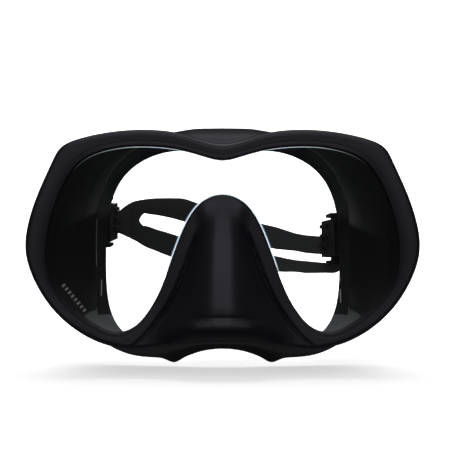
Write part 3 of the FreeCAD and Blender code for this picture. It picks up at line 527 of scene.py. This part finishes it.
def strap_object(side):
    st = strap_stations(side)
    lo = [s[0] for s in st]
    hi = [s[1] for s in st]
    # slot edges as heights; outside the slot both sit on the middle
    mids = []
    for s in st:
        if s[2] is None:
            m = (s[0].z + s[1].z) / 2
            mids.append(Vector((m, m, 0)))
        else:
            mids.append(Vector((s[2][0], s[2][1], 0)))
    sub = 12
    cols = 8                       # per band
    rings = []
    n = len(st)
    for i in range(n - 1):
        for k in range(sub):
            t = k / sub
            rings.append((catmull(lo, i, t), catmull(hi, i, t), mids[i].lerp(mids[i + 1], t), i + t))
    rings.append((lo[-1], hi[-1], mids[-1], n - 1.0))
    first_slot = next((i for i, s in enumerate(st) if s[2] is not None), n)
    verts, faces = [], []
    grid = []
    prev_gap = None
    for a, b, m, q in rings:
        width = (b - a)
        dz = max(1e-6, width.z)
        open_ = q > first_slot - 0.55
        # rounded start of the slot
        s_in = (q - (first_slot - 0.55)) * 5.3
        r_end = 2.2
        rnd = 0.0 if not open_ else (math.sqrt(max(0.0, 1 - (1 - min(1.0, s_in / r_end)) ** 2)))
        c = (m.x + m.y) / 2
        lo_s, hi_s = m.x, m.y
        if open_:
            half = max((hi_s - lo_s) / 2, 2.2 + 1.1 * min(1.0, s_in / r_end) if side == "left" else 1.2)
            lo_s, hi_s = c - half * rnd, c + half * rnd
        else:
            lo_s = hi_s = c
        fl, fh = (lo_s - a.z) / dz, (hi_s - a.z) / dz
        row = []
        for j in range(cols + 1):
            row.append(a + width * (fl * j / cols))
        if open_ and hi_s - lo_s > 0.05:
            row2 = [a + width * (fh + (1 - fh) * j / cols) for j in range(cols + 1)]
        else:
            row2 = None
            base = row[-1]
            row2 = [base + (b - base) * (j / cols) for j in range(cols + 1)]
        grid.append((row, row2, open_ and hi_s - lo_s > 0.05))
    index = []
    for row, row2, op in grid:
        ids = []
        for p in row:
            verts.append(tuple(p))
            ids.append(len(verts) - 1)
        ids2 = []
        for j, p in enumerate(row2):
            if j == 0 and not op:
                ids2.append(ids[-1])
                continue
            verts.append(tuple(p))
            ids2.append(len(verts) - 1)
        index.append((ids, ids2))
    for k in range(len(index) - 1):
        for part in (0, 1):
            A, B = index[k][part], index[k + 1][part]
            for j in range(cols):
                faces.append((A[j], B[j], B[j + 1], A[j + 1]))
    ob = new_object("strap_half_" + side, verts, faces)
    bm = bmesh.new()
    bm.from_mesh(ob.data)
    bmesh.ops.recalc_face_normals(bm, faces=bm.faces)
    bm.to_mesh(ob.data)
    bm.free()
    so = ob.modifiers.new("thick", "SOLIDIFY")
    so.thickness = STRAP_T * 0.001
    so.offset = 0
    so.use_even_offset = True
    be = ob.modifiers.new("edge", "BEVEL")
    be.width = 0.0006
    be.segments = 3
    be.limit_method = "ANGLE"
    be.angle_limit = math.radians(50)
    bake_modifiers(ob)
    ob.data.polygons.foreach_set("use_smooth", [True] * len(ob.data.polygons))
    return ob


# ---------------------------------------------------------------- materials
def node_material(name):
    m = bpy.data.materials.new(name)
    m.use_nodes = True
    nt = m.node_tree
    nt.nodes.clear()
    out = nt.nodes.new("ShaderNodeOutputMaterial")
    bs = nt.nodes.new("ShaderNodeBsdfPrincipled")
    nt.links.new(bs.outputs[0], out.inputs[0])
    return m, nt, bs, out


def moulded(name, c_lo, c_hi, rough, grain=0.0003, bump=0.12, rough_var=0.08, scale_big=45.0, spec=0.5, sheen=0.0, metallic=0.0, coat=0.0,
            grain_scale=2600.0):
    """Moulded rubber or plastic: slow colour drift, fine grain in the bump, uneven gloss."""
    m, nt, bs, out = node_material(name)
    N, L = nt.nodes, nt.links
    tc = N.new("ShaderNodeTexCoord")
    big = N.new("ShaderNodeTexNoise")
    big.inputs["Scale"].default_value = scale_big
    big.inputs["Detail"].default_value = 4
    L.new(tc.outputs["Object"], big.inputs["Vector"])
    ramp = N.new("ShaderNodeMix")
    ramp.data_type = "RGBA"
    ramp.inputs["A"].default_value = (*c_lo, 1)
    ramp.inputs["B"].default_value = (*c_hi, 1)
    L.new(big.outputs["Fac"], ramp.inputs["Factor"])
    L.new(ramp.outputs["Result"], bs.inputs["Base Color"])
    mr = N.new("ShaderNodeMapRange")
    mr.inputs["To Min"].default_value = rough - rough_var
    mr.inputs["To Max"].default_value = rough + rough_var
    L.new(big.outputs["Fac"], mr.inputs["Value"])
    L.new(mr.outputs["Result"], bs.inputs["Roughness"])
    fine = N.new("ShaderNodeTexNoise")
    fine.inputs["Scale"].default_value = grain_scale
    fine.inputs["Detail"].default_value = 2
    L.new(tc.outputs["Object"], fine.inputs["Vector"])
    b = N.new("ShaderNodeBump")
    b.inputs["Strength"].default_value = bump
    b.inputs["Distance"].default_value = grain
    L.new(fine.outputs["Fac"], b.inputs["Height"])
    L.new(b.outputs["Normal"], bs.inputs["Normal"])
    bs.inputs["Specular IOR Level"].default_value = spec
    bs.inputs["Metallic"].default_value = metallic
    if sheen:
        bs.inputs["Sheen Weight"].default_value = sheen
        bs.inputs["Sheen Roughness"].default_value = 0.5
    if coat:
        bs.inputs["Coat Weight"].default_value = coat
        bs.inputs["Coat Roughness"].default_value = 0.25
    return m, nt, bs, mr, ramp


def math_node(nt, op, a, b=None, c=None, clamp=False):
    n = nt.nodes.new("ShaderNodeMath")
    n.operation = op
    n.use_clamp = clamp
    for k, v in enumerate((a, b, c)):
        if v is None:
            continue
        if isinstance(v, (int, float)):
            n.inputs[k].default_value = v
        else:
            nt.links.new(v, n.inputs[k])
    return n.outputs[0]


def ramp01(nt, value, lo, hi):
    """0 at lo, 1 at hi, smooth between; lo may be above hi."""
    n = nt.nodes.new("ShaderNodeMapRange")
    n.interpolation_type = "SMOOTHSTEP"
    n.inputs["From Min"].default_value = lo
    n.inputs["From Max"].default_value = hi
    nt.links.new(value, n.inputs["Value"])
    return n.outputs["Result"]


def mix_colour(nt, fac, a, b):
    n = nt.nodes.new("ShaderNodeMix")
    n.data_type = "RGBA"
    nt.links.new(fac, n.inputs["Factor"])
    for name, v in (("A", a), ("B", b)):
        if isinstance(v, tuple):
            n.inputs[name].default_value = (*v, 1)
        else:
            nt.links.new(v, n.inputs[name])
    return n.outputs["Result"]


def position(nt):
    tc = nt.nodes.new("ShaderNodeTexCoord")
    sp = nt.nodes.new("ShaderNodeSeparateXYZ")
    nt.links.new(tc.outputs["Object"], sp.inputs[0])
    return sp.outputs["X"], sp.outputs["Y"], sp.outputs["Z"]


def wall_material():
    """Inside of the skirt: painted light on the upper and lower fields, and the plain nearly black silicone colour
    behind the strap posts between them.
    """
    m, nt, bs, mr, ramp = moulded("silicone_inner_wall", (0.0056, 0.0056, 0.0058), (0.0080, 0.0080, 0.0080), 0.46, bump=0.16, spec=0.22,
                                  rough_var=0.05, grain_scale=2100.0)
    x, y, z = position(nt)
    # upper field of painted light: above a line that falls away from the fold, lighter towards the fold
    line = math_node(nt, "MULTIPLY_ADD", y, -0.25, z)
    side = math_node(nt, "MULTIPLY", ramp01(nt, x, -0.02, 0.02), 0.0055)
    up = ramp01(nt, math_node(nt, "ADD", line, side), 0.0150, 0.0190)
    c0 = mix_colour(nt, ramp01(nt, y, -0.054, -0.026), (0.0085, 0.0085, 0.0083), (0.052, 0.052, 0.050))
    c0 = mix_colour(nt, ramp01(nt, y, -0.030, -0.013), c0, (0.24, 0.24, 0.23))
    # lower field of painted light: below a plane near z = -34 mm, away from the middle
    low = ramp01(nt, math_node(nt, "MULTIPLY_ADD", y, -0.06, z), -0.0336, -0.0345)
    low = math_node(nt, "MULTIPLY", low, ramp01(nt, math_node(nt, "ABSOLUTE", x), 0.020, 0.034))
    lower = mix_colour(nt, ramp01(nt, y, -0.060, -0.020), (0.095, 0.095, 0.099), (0.230, 0.230, 0.236))
    # faint light just over the lower field, near the fold
    near = math_node(nt, "MULTIPLY", ramp01(nt, z, -0.0200, -0.0330), ramp01(nt, y, -0.034, -0.013))
    c1 = mix_colour(nt, up, ramp.outputs["Result"], c0)
    c1 = mix_colour(nt, near, c1, (0.040, 0.040, 0.042))
    c2 = mix_colour(nt, low, c1, lower)
    nt.links.new(c2, bs.inputs["Base Color"])
    return m


def lip_material():
    """Sealing lips: thin smooth silicone, painted far lighter than the front band to stand in for light."""
    m, nt, bs, mr, ramp = moulded("silicone_lip", (0.1150, 0.1150, 0.1150), (0.1350, 0.1350, 0.1340), 0.50, bump=0.20, spec=0.22,
                                  rough_var=0.06, scale_big=160.0, grain_scale=1700.0)
    x, y, z = position(nt)
    ax = math_node(nt, "ABSOLUTE", x)
    # painted light: lighter below about z = -38 mm away from the middle, and bluish and lighter at the top inside about
    # x = ±42 mm
    low = math_node(nt, "MULTIPLY", ramp01(nt, z, -0.0376, -0.0383), ramp01(nt, ax, 0.020, 0.034))
    high = math_node(nt, "MULTIPLY", ramp01(nt, ax, 0.0430, 0.0400), ramp01(nt, z, 0.030, 0.036))
    # painted shade where it faces the buckles, down to the lower corners
    mid = math_node(nt, "MULTIPLY", ramp01(nt, z, 0.0160, 0.0080), ramp01(nt, ax, 0.040, 0.050))
    c = mix_colour(nt, mid, ramp.outputs["Result"], (0.024, 0.024, 0.025))
    c = mix_colour(nt, high, c, (0.085, 0.088, 0.112))
    c = mix_colour(nt, low, c, (0.160, 0.160, 0.167))
    # two short painted highlights on the lips
    for xc, z0, z1 in ((-0.0607, -0.0285, -0.0205), (0.0590, -0.0320, -0.0255), (0.0588, -0.0215, -0.0192)):
        sx = math_node(nt, "MULTIPLY", ramp01(nt, x, xc - 0.00036, xc - 0.0001), ramp01(nt, x, xc + 0.00036, xc + 0.0001))
        sz = math_node(nt, "MULTIPLY", ramp01(nt, z, z0 - 0.0008, z0 + 0.0008), ramp01(nt, z, z1 + 0.0008, z1 - 0.0008))
        c = mix_colour(nt, math_node(nt, "MULTIPLY", sx, sz), c, (0.62, 0.62, 0.62))
    nt.links.new(c, bs.inputs["Base Color"])
    return m


def bead_material():
    """The bead on the fold carries painted highlights: along its upper part, at mid height on the left, and paler below
    about z = -34 mm.
    """
    m, nt, bs, mr, ramp = moulded("silicone_bead", (0.010, 0.010, 0.010), (0.016, 0.016, 0.016), 0.4, bump=0.08, spec=0.3, rough_var=0.04)
    x, y, z = position(nt)
    up = ramp01(nt, z, 0.0140, 0.0290)
    mid = math_node(nt, "MULTIPLY", ramp01(nt, z, -0.0150, -0.0120), ramp01(nt, z, 0.0110, 0.0085))
    mid = math_node(nt, "MULTIPLY", mid, ramp01(nt, x, 0.010, -0.010))
    lowz = ramp01(nt, z, -0.0325, -0.0345)
    c1 = mix_colour(nt, up, ramp.outputs["Result"], (0.62, 0.62, 0.60))
    c2 = mix_colour(nt, mid, c1, (0.70, 0.70, 0.70))
    c3 = mix_colour(nt, lowz, c2, (0.30, 0.30, 0.305))
    nt.links.new(c3, bs.inputs["Base Color"])
    return m


def silicone_material(name="silicone_black", k=1.0):
    m, nt, bs, mr, ramp = moulded(name, (0.0046 * k, 0.0042 * k, 0.0056 * k), (0.0068 * k, 0.0063 * k, 0.0080 * k), 0.52, bump=0.22,
                                  spec=0.46 * k, rough_var=0.04, grain_scale=2300.0)
    bs.inputs["Specular Tint"].default_value = (0.88, 0.85, 1.0, 1)
    return m


def brim_material():
    """Edge of the front band where it dips over the nose: a little smoother, with a painted highlight that grows
    lighter towards the middle.
    """
    m, nt, bs, mr, ramp = moulded("silicone_dip_edge", (0.0046, 0.0042, 0.0056), (0.0068, 0.0063, 0.0080), 0.50, bump=0.15, spec=0.46,
                                  rough_var=0.04)
    bs.inputs["Specular Tint"].default_value = (0.88, 0.85, 1.0, 1)
    x, y, z = position(nt)
    ax = math_node(nt, "ABSOLUTE", x)
    c = mix_colour(nt, ramp01(nt, ax, 0.0215, 0.0120), ramp.outputs["Result"], (0.085, 0.084, 0.094))
    nt.links.new(c, bs.inputs["Base Color"])
    return m


def strap_material():
    """The strap is painted lighter than the black silicone to stand in for light, and lighter still on the right, where
    more light reaches it through the glass.
    """
    m, nt, bs, mr, ramp = moulded("strap_silicone_black", (0.0420, 0.0420, 0.0420), (0.0520, 0.0520, 0.0520), 0.50, bump=0.15, spec=0.34)
    x, y, z = position(nt)
    c = mix_colour(nt, ramp01(nt, x, -0.005, 0.022), ramp.outputs["Result"], (0.083, 0.083, 0.088))
    nt.links.new(c, bs.inputs["Base Color"])
    return m


def edge_glow_material(name, strength, colour):
    """Painted glow on the edge of the glass, standing in for light refracted there: along the top and beside the nose.
    """
    m, nt, bs, out = node_material(name)
    N, L = nt.nodes, nt.links
    x, y, z = position(nt)
    ax = math_node(nt, "ABSOLUTE", x)
    no = N.new("ShaderNodeTexNoise")
    no.inputs["Scale"].default_value = 90.0
    tc = N.new("ShaderNodeTexCoord")
    L.new(tc.outputs["Object"], no.inputs["Vector"])
    # beside the nose
    nose = math_node(nt, "MULTIPLY", ramp01(nt, ax, 0.0300, 0.0250), ramp01(nt, z, -0.0165, -0.0100))
    # along the top, fading to the sides, further out on the left
    left = ramp01(nt, x, -0.0720, -0.0170)
    right = ramp01(nt, x, 0.0680, 0.0170)
    top = math_node(nt, "MULTIPLY", math_node(nt, "MULTIPLY", left, right), ramp01(nt, z, 0.0300, 0.0330))
    amount = math_node(nt, "MAXIMUM", nose, top)
    amount = math_node(nt, "MULTIPLY", amount, math_node(nt, "MULTIPLY_ADD", no.outputs["Fac"], 0.25 * strength, 0.80 * strength), clamp=True)
    tr = N.new("ShaderNodeBsdfTransparent")
    bs.inputs["Base Color"].default_value = (*colour, 1)
    bs.inputs["Roughness"].default_value = 0.35
    bs.inputs["Emission Color"].default_value = (*colour, 1)
    bs.inputs["Emission Strength"].default_value = 0.55
    mx = N.new("ShaderNodeMixShader")
    L.new(amount, mx.inputs[0])
    L.new(tr.outputs[0], mx.inputs[1])
    L.new(bs.outputs[0], mx.inputs[2])
    L.new(mx.outputs[0], out.inputs[0])
    return m


def glass_material():
    m, nt, bs, out = node_material("tempered_glass")
    N, L = nt.nodes, nt.links
    tr = N.new("ShaderNodeBsdfTransparent")
    tr.inputs[0].default_value = (0.985, 0.995, 0.992, 1)
    gl = N.new("ShaderNodeBsdfGlossy")
    gl.inputs["Roughness"].default_value = 0.02
    tc = N.new("ShaderNodeTexCoord")
    no = N.new("ShaderNodeTexNoise")
    no.inputs["Scale"].default_value = 30.0
    L.new(tc.outputs["Object"], no.inputs["Vector"])
    mr = N.new("ShaderNodeMapRange")
    mr.inputs["To Min"].default_value = 0.01
    mr.inputs["To Max"].default_value = 0.05
    L.new(no.outputs["Fac"], mr.inputs["Value"])
    L.new(mr.outputs["Result"], gl.inputs["Roughness"])
    fr = N.new("ShaderNodeFresnel")
    fr.inputs["IOR"].default_value = 1.25
    mx = N.new("ShaderNodeMixShader")
    L.new(fr.outputs[0], mx.inputs[0])
    L.new(tr.outputs[0], mx.inputs[1])
    L.new(gl.outputs[0], mx.inputs[2])
    N.remove(bs)
    L.new(mx.outputs[0], out.inputs[0])
    return m


def steel_material():
    m, nt, bs, mr, ramp = moulded("stainless_steel", (0.42, 0.42, 0.43), (0.58, 0.58, 0.60), 0.28, bump=0.08, metallic=1.0, scale_big=700.0,
                                  rough_var=0.08)
    return m


def print_material():
    m, nt, bs, mr, ramp = moulded("printed_mark", (0.19, 0.19, 0.19), (0.30, 0.30, 0.30), 0.5, bump=0.02, scale_big=900.0)
    return m


M_SIL = silicone_material()
SHADES = [k for k in range(-6, 9) if k]
# lit and shaded copies of the black silicone, colour and specular scaled in 7.5 % steps: painted light and shade for
# the front band
M_SHADES = [silicone_material("silicone_black_side_%d" % (n + 1), 1.0 + 0.075 * k) for n, k in enumerate(SHADES)]
M_LIP = lip_material()
M_BEAD = bead_material()
M_WALL = wall_material()
M_EDGE = edge_glow_material("glass_edge_painted_glow", 1.0, (0.86, 0.94, 1.0))
M_FRINGE = edge_glow_material("glass_edge_fringe", 0.30, (0.45, 0.70, 0.88))
M_STRAP = strap_material()
M_BRIM = brim_material()
M_GLASS = glass_material()
M_FRAME = moulded("frame_plastic_black", (0.012, 0.012, 0.013), (0.02, 0.02, 0.022), 0.5)[0]
M_BUCKLE = moulded("buckle_plastic_black", (0.0115, 0.0118, 0.0135), (0.0185, 0.0190, 0.0215), 0.42, bump=0.25, grain_scale=1900.0)[0]
M_COVER = moulded("cover_plastic_blueblack", (0.014, 0.017, 0.026), (0.022, 0.026, 0.038), 0.30, bump=0.10)[0]
M_BUTTON = moulded("button_plastic_black", (0.016, 0.017, 0.02), (0.026, 0.028, 0.033), 0.46, bump=0.3, grain_scale=1700.0)[0]
M_ROLLER = moulded("roller_acetal_dark", (0.03, 0.03, 0.033), (0.045, 0.045, 0.05), 0.36)[0]
M_STEEL = steel_material()
M_MARK = print_material()

SLOT_MAT = {"silicone": M_SIL, "strap_silicone": M_STRAP, "lens_glass": M_GLASS, "frame_plastic": M_FRAME, "buckle_plastic": M_BUCKLE,
            "cover_plastic": M_COVER, "button_plastic": M_BUTTON, "roller_plastic": M_ROLLER, "pin_steel": M_STEEL}
for sp_ in frame["record"]["subparts"]:
    ob = frame["nodes"][sp_["node"]]
    ob.data.materials.clear()
    ob.data.materials.append(SLOT_MAT[sp_["material_slot"]])
# the two buckles are one plastic, painted bluer and lighter on the left and darker on the right: painted light and
# shade
M_BUCKLE_L = moulded("buckle_plastic_left", (0.0170, 0.0170, 0.0215), (0.0260, 0.0260, 0.0330), 0.40, bump=0.25, grain_scale=1900.0)[0]
M_BUCKLE_R = moulded("buckle_plastic_right", (0.0060, 0.0060, 0.0062), (0.0105, 0.0105, 0.0110), 0.46, bump=0.30, grain_scale=1700.0)[0]
for sp_ in frame["record"]["subparts"]:
    if sp_["material_slot"] in ("buckle_plastic", "cover_plastic"):
        ob = frame["nodes"][sp_["node"]]
        ob.data.materials.clear()
        ob.data.materials.append(M_BUCKLE_L if sp_["node"].endswith("left") else M_BUCKLE_R)


# ---------------------------------------------------------------- build the soft pieces
skirt = skirt_object()
for mat in [M_SIL, M_LIP, M_BEAD, M_WALL, M_BRIM] + M_SHADES:
    skirt.data.materials.append(mat)
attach(skirt, "mask")
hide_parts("skirt")

for side in ("left", "right"):
    st = strap_object(side)
    st.data.materials.append(M_STRAP)
    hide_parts("strap_end_" + side, "strap_back")
    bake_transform(st)


# button springs, round wire, squeezed between the web of the buckle and the button
def coil_spring(side, up):
    z0, z1, rad, wire, turns, per, ring = 0.85, 4.95, 1.25, 0.18, 3.25, 28, 10
    n = int(turns * per)
    verts, faces = [], []
    for k in range(n + 1):
        a = 2 * math.pi * k / per
        z = z0 + (z1 - z0) * k / n
        for m in range(ring):
            b = 2 * math.pi * m / ring
            rr = rad + wire * math.cos(b)
            zz = z + wire * math.sin(b)
            verts.append(tuple(place_point((-13.5 + rr * math.cos(a), 30.7 + rr * math.sin(a), zz if up else -zz), side)))
    for k in range(n):
        for m in range(ring):
            m2 = (m + 1) % ring
            faces.append((k * ring + m, k * ring + m2, (k + 1) * ring + m2, (k + 1) * ring + m))
    faces.append(tuple(reversed(range(ring))))
    faces.append(tuple(n * ring + m for m in range(ring)))
    nm = "upper_" if up else "lower_"
    ob = new_object("coil_spring_" + nm + side, verts, faces)
    bm = bmesh.new()
    bm.from_mesh(ob.data)
    bmesh.ops.recalc_face_normals(bm, faces=bm.faces)
    bm.to_mesh(ob.data)
    bm.free()
    ob.data.materials.append(M_STEEL)
    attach(ob, "buckle_" + side)
    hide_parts("button_spring_" + nm + side)
    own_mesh(ob)


for side in ("left", "right"):
    coil_spring(side, True)
    coil_spring(side, False)


# a row of plain printed dashes low on the glass
def glass_marks():
    verts, faces = [], []
    n = 8
    p0, p1 = (-73.0, -19.9), (-62.2, -32.8)
    dx, dz = p1[0] - p0[0], p1[1] - p0[1]
    ln = math.hypot(dx, dz)
    ux, uz = dx / ln, dz / ln
    vx, vz = -uz, ux
    y = LENS_FRONT - 0.03
    for k in range(n):
        c = (p0[0] + dx * (k + 0.5) / n, p0[1] + dz * (k + 0.5) / n)
        hl, hw = 0.52, 0.86
        b = len(verts)
        for s, t in ((-1, -1), (1, -1), (1, 1), (-1, 1)):
            verts.append((c[0] + ux * hl * s + vx * hw * t, y, c[1] + uz * hl * s + vz * hw * t))
        faces.append((b, b + 1, b + 2, b + 3))
    ob = new_object("lens_marks", verts, faces, False)
    so = ob.modifiers.new("ink", "SOLIDIFY")
    so.thickness = 0.00003
    bake_modifiers(ob)
    ob.data.materials.append(M_MARK)
    return ob


# a painted glow at the edge of the glass, seen just inside the silicone
def glass_edge():
    verts, faces = [], []
    n = 480
    for k in range(n):
        u = 60.0 * k / n
        kk = min(u % 60, 60 - u % 60)
        nosep = smooth((kk - 22.0) / 4.0)
        w = 0.24 + 0.22 * nosep + lip_reach(u)
        for d, y in ((0.12, LENS_FRONT - 0.05), (-w, LENS_FRONT - 0.05), (-w - 0.30 * nosep - 0.05, LENS_FRONT - 0.045),
                     (-w, LENS_FRONT - 0.02), (0.12, LENS_FRONT - 0.02)):
            x, z = off("A", u, d)
            verts.append((x, y, z))
    for k in range(n):
        k2 = (k + 1) % n
        for v in range(5):
            v2 = (v + 1) % 5
            faces.append((k * 5 + v, k * 5 + v2, k2 * 5 + v2, k2 * 5 + v))
    ob = new_object("lens_edge_painted_glow", verts, faces, False)
    ob.data.materials.append(M_EDGE)
    ob.data.materials.append(M_FRINGE)
    ob.data.polygons.foreach_set("material_index", [1 if v in (1, 2) else 0 for k in range(n) for v in range(5)])
    return ob


edge = glass_edge()
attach(edge, "mask")

marks = glass_marks()
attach(marks, "mask")


# ---------------------------------------------------------------- floor, light, camera
def backdrop():
    pts = [(-2.2, 0.0), (0.9, 0.0)]
    r = 0.5
    for k in range(1, 17):
        a = math.pi / 2 * k / 16
        pts.append((0.9 + r * math.sin(a), r - r * math.cos(a)))
    pts.append((1.4, 2.4))
    verts, faces = [], []
    for x in (-3.0, 3.0):
        for y, z in pts:
            verts.append((x * 1000, y * 1000, z * 1000 - 63.2))
    n = len(pts)
    for k in range(n - 1):
        faces.append((k, k + 1, n + k + 1, n + k))
    ob = new_object("studio_floor", verts, faces)
    m, nt, bs, out = node_material("studio_white")
    N, L = nt.nodes, nt.links
    bs.inputs["Roughness"].default_value = 0.9
    bs.inputs["Specular IOR Level"].default_value = 0.0
    tc = N.new("ShaderNodeTexCoord")
    no = N.new("ShaderNodeTexNoise")
    no.inputs["Scale"].default_value = 4.0
    L.new(tc.outputs["Object"], no.inputs["Vector"])
    mx = N.new("ShaderNodeMix")
    mx.data_type = "RGBA"
    mx.inputs["A"].default_value = (0.86, 0.86, 0.86, 1)
    mx.inputs["B"].default_value = (0.88, 0.88, 0.88, 1)
    L.new(no.outputs["Fac"], mx.inputs["Factor"])
    L.new(mx.outputs["Result"], bs.inputs["Base Color"])
    bs.inputs["Emission Color"].default_value = (1, 1, 1, 1)
    bs.inputs["Emission Strength"].default_value = 0.62
    ob.data.materials.append(m)
    return ob


# the floor and backdrop are seen, but the mask is lit only by the lights and the sky
stage = backdrop()
stage.visible_diffuse = False
stage.visible_glossy = False


def area(name, loc, target, size, power, color=(1, 1, 1), size_y=None):
    d = bpy.data.lights.new(name, "AREA")
    d.energy = power
    d.size = size
    d.color = color
    if size_y:
        d.shape = "RECTANGLE"
        d.size_y = size_y
    ob = bpy.data.objects.new(name, d)
    bpy.context.scene.collection.objects.link(ob)
    ob.location = loc
    ob.rotation_euler = (Vector(target) - Vector(loc)).to_track_quat("-Z", "Y").to_euler()
    return ob


area("key_front", (0.0, -1.22, 0.66), (0, -0.05, 0), 0.50, 4.5, size_y=0.75)
area("top_soft", (0.0, 0.0, 1.3), (0, -0.03, 0), 1.0, 6.0)
area("rear_wash", (0.0, 0.75, 0.9), (0, 1.4, 0.3), 1.6, 30.0)

world = bpy.data.worlds.new("studio")
bpy.context.scene.world = world
world.use_nodes = True
bg = world.node_tree.nodes["Background"]
bg.inputs[0].default_value = (0.93, 0.96, 1.0, 1)
bg.inputs[1].default_value = 0.06

cam_d = bpy.data.cameras.new("cam")
cam_d.sensor_width = 36.0
cam_d.lens = 114.5
cam_d.clip_start = 0.02
cam_d.clip_end = 20.0
cam = bpy.data.objects.new("cam", cam_d)
bpy.context.scene.collection.objects.link(cam)
cam.location = (0.0011, -0.722, 0.0068)
cam.rotation_euler = (math.pi / 2, 0, 0)
bpy.context.scene.camera = cam
bpy.context.scene.view_settings.view_transform = "Standard"
